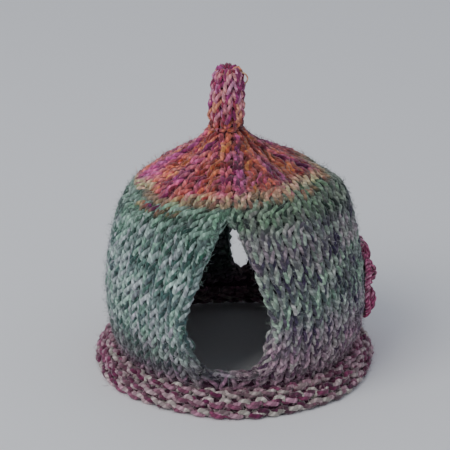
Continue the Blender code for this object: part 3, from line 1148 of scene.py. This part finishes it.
def wool(name, sheen):
    """A matt yarn: the mesh's colour, which carries painted shade, with plies, fibres, uneven dye and
    painted shade in the ply grooves.
    """
    finish = bpy.data.materials.new(name)
    finish.use_nodes = True
    nodes = finish.node_tree.nodes
    link = finish.node_tree.links.new
    shader = nodes["Principled BSDF"]
    shader.inputs["Roughness"].default_value = 0.92
    shader.inputs["Specular IOR Level"].default_value = 0.25
    shader.inputs["Sheen Weight"].default_value = sheen
    shader.inputs["Sheen Roughness"].default_value = 0.5

    def maths(kind, first, second):
        node = nodes.new("ShaderNodeMath")
        node.operation = kind
        for socket, value in zip(node.inputs, (first, second)):
            if isinstance(value, (int, float)):
                socket.default_value = value
            else:
                link(value, socket)
        return node.outputs["Value"]

    dye = nodes.new("ShaderNodeAttribute")
    dye.attribute_name = "tint"
    place = nodes.new("ShaderNodeUVMap")
    place.uv_map = "yarn"
    apart = nodes.new("ShaderNodeSeparateXYZ")
    link(place.outputs["UV"], apart.inputs["Vector"])
    along = maths("MULTIPLY", apart.outputs["X"], 2 * math.pi * PLY_TURNS)
    round_it = maths("MULTIPLY", apart.outputs["Y"], 2 * math.pi)
    plies = maths("SINE", maths("ADD", along, round_it), 0.0)
    groove = maths("POWER", maths("ABSOLUTE", plies, 0.0), 0.5)

    where = nodes.new("ShaderNodeTexCoord")
    fibres = nodes.new("ShaderNodeTexNoise")
    fibres.inputs["Scale"].default_value = FIBRE_SCALE
    fibres.inputs["Detail"].default_value = 3
    link(where.outputs["Object"], fibres.inputs["Vector"])
    patches = nodes.new("ShaderNodeTexNoise")
    patches.inputs["Scale"].default_value = PATCH_SCALE
    patches.inputs["Detail"].default_value = 2
    link(where.outputs["Object"], patches.inputs["Vector"])

    # Painted shade: the colour darkens in the grooves between plies.
    shade = maths("MULTIPLY", groove, SHADE["groove"])
    shade = maths("ADD", shade, maths("MULTIPLY", plies, SHADE["ply"]))
    shade = maths("ADD", shade, maths("MULTIPLY", fibres.outputs["Fac"], SHADE["fibre"]))
    shade = maths("ADD", shade, maths("MULTIPLY", patches.outputs["Fac"], SHADE["patch"]))
    shade = maths("ADD", shade, SHADE["least"])
    colour = nodes.new("ShaderNodeVectorMath")
    colour.operation = "SCALE"
    link(dye.outputs["Color"], colour.inputs[0])
    link(shade, colour.inputs["Scale"])
    link(colour.outputs["Vector"], shader.inputs["Base Color"])

    relief = maths("ADD", groove, maths("MULTIPLY", fibres.outputs["Fac"], FIBRE_RELIEF))
    bump = nodes.new("ShaderNodeBump")
    bump.inputs["Strength"].default_value = 0.8
    bump.inputs["Distance"].default_value = PLY_DEPTH
    link(relief, bump.inputs["Height"])
    link(bump.outputs["Normal"], shader.inputs["Normal"])
    return finish


marled_yarn = wool("marled_yarn", 0.35)
magenta_yarn = wool("magenta_yarn", 0.35)
crimson_yarn = wool("crimson_yarn", 0.30)
for piece, finish in (
    (knit_lower, marled_yarn),
    (knit_upper, marled_yarn),
    (knit_crown, marled_yarn),
    (knit_brim, marled_yarn),
    (cloth_sheet, marled_yarn),
    (low_fibres, marled_yarn),
    (high_fibres, marled_yarn),
    (knit_stalk, magenta_yarn),
    (crochet_flower, crimson_yarn),
):
    piece.data.materials.clear()
    piece.data.materials.append(finish)
    print(piece.name, finish.name)

# %% [markdown]
# ## Camera, floor and light
# The camera looks a little down at the front, as in the photograph. The light is a window's:
# large and soft, from the left and above, with the room's pale walls all round.

# %% Camera, floor and light
CAMERA_RISE = math.radians(22.2)
CAMERA_AIM = Vector((AXIS[0], AXIS[1], 0.080))
CAMERA_LENS = 142.9
CAMERA_SHIFT = -10 / 450


def look_from_the_front():
    data = bpy.data.cameras.new("camera")
    data.lens = CAMERA_LENS
    data.shift_x = CAMERA_SHIFT
    camera = bpy.data.objects.new("camera", data)
    bpy.context.scene.collection.objects.link(camera)
    camera.location = CAMERA_AIM + Vector((0, -math.cos(CAMERA_RISE), math.sin(CAMERA_RISE)))
    camera.rotation_euler = (math.pi / 2 - CAMERA_RISE, 0, 0)
    bpy.context.scene.camera = camera


def soft_light(name, place, size, power, colour):
    data = bpy.data.lights.new(name, "AREA")
    data.size = size
    data.energy = power
    data.color = colour
    light = bpy.data.objects.new(name, data)
    light.location = place
    light.rotation_euler = (Vector((0, 0, 0.08)) - Vector(place)).to_track_quat("-Z", "Y").to_euler()
    bpy.context.scene.collection.objects.link(light)


def pale_floor():
    bpy.ops.object.select_all(action="DESELECT")
    bpy.ops.mesh.primitive_plane_add(size=6)
    floor = bpy.context.object
    floor.name = "floor"
    finish = bpy.data.materials.new("pale_floor")
    finish.use_nodes = True
    shader = finish.node_tree.nodes["Principled BSDF"]
    shader.inputs["Base Color"].default_value = (0.84, 0.84, 0.85, 1)
    shader.inputs["Roughness"].default_value = 0.8
    floor.data.materials.append(finish)


def room_light(colour, strength):
    world = bpy.data.worlds.new("room")
    world.use_nodes = True
    background = world.node_tree.nodes["Background"]
    background.inputs["Color"].default_value = (*colour, 1)
    background.inputs["Strength"].default_value = strength
    bpy.context.scene.world = world


look_from_the_front()
pale_floor()
soft_light("window", (-1.0, -0.9, 1.5), 1.2, 18, (1.0, 0.98, 0.95))
room_light((0.80, 0.85, 0.95), 0.6)
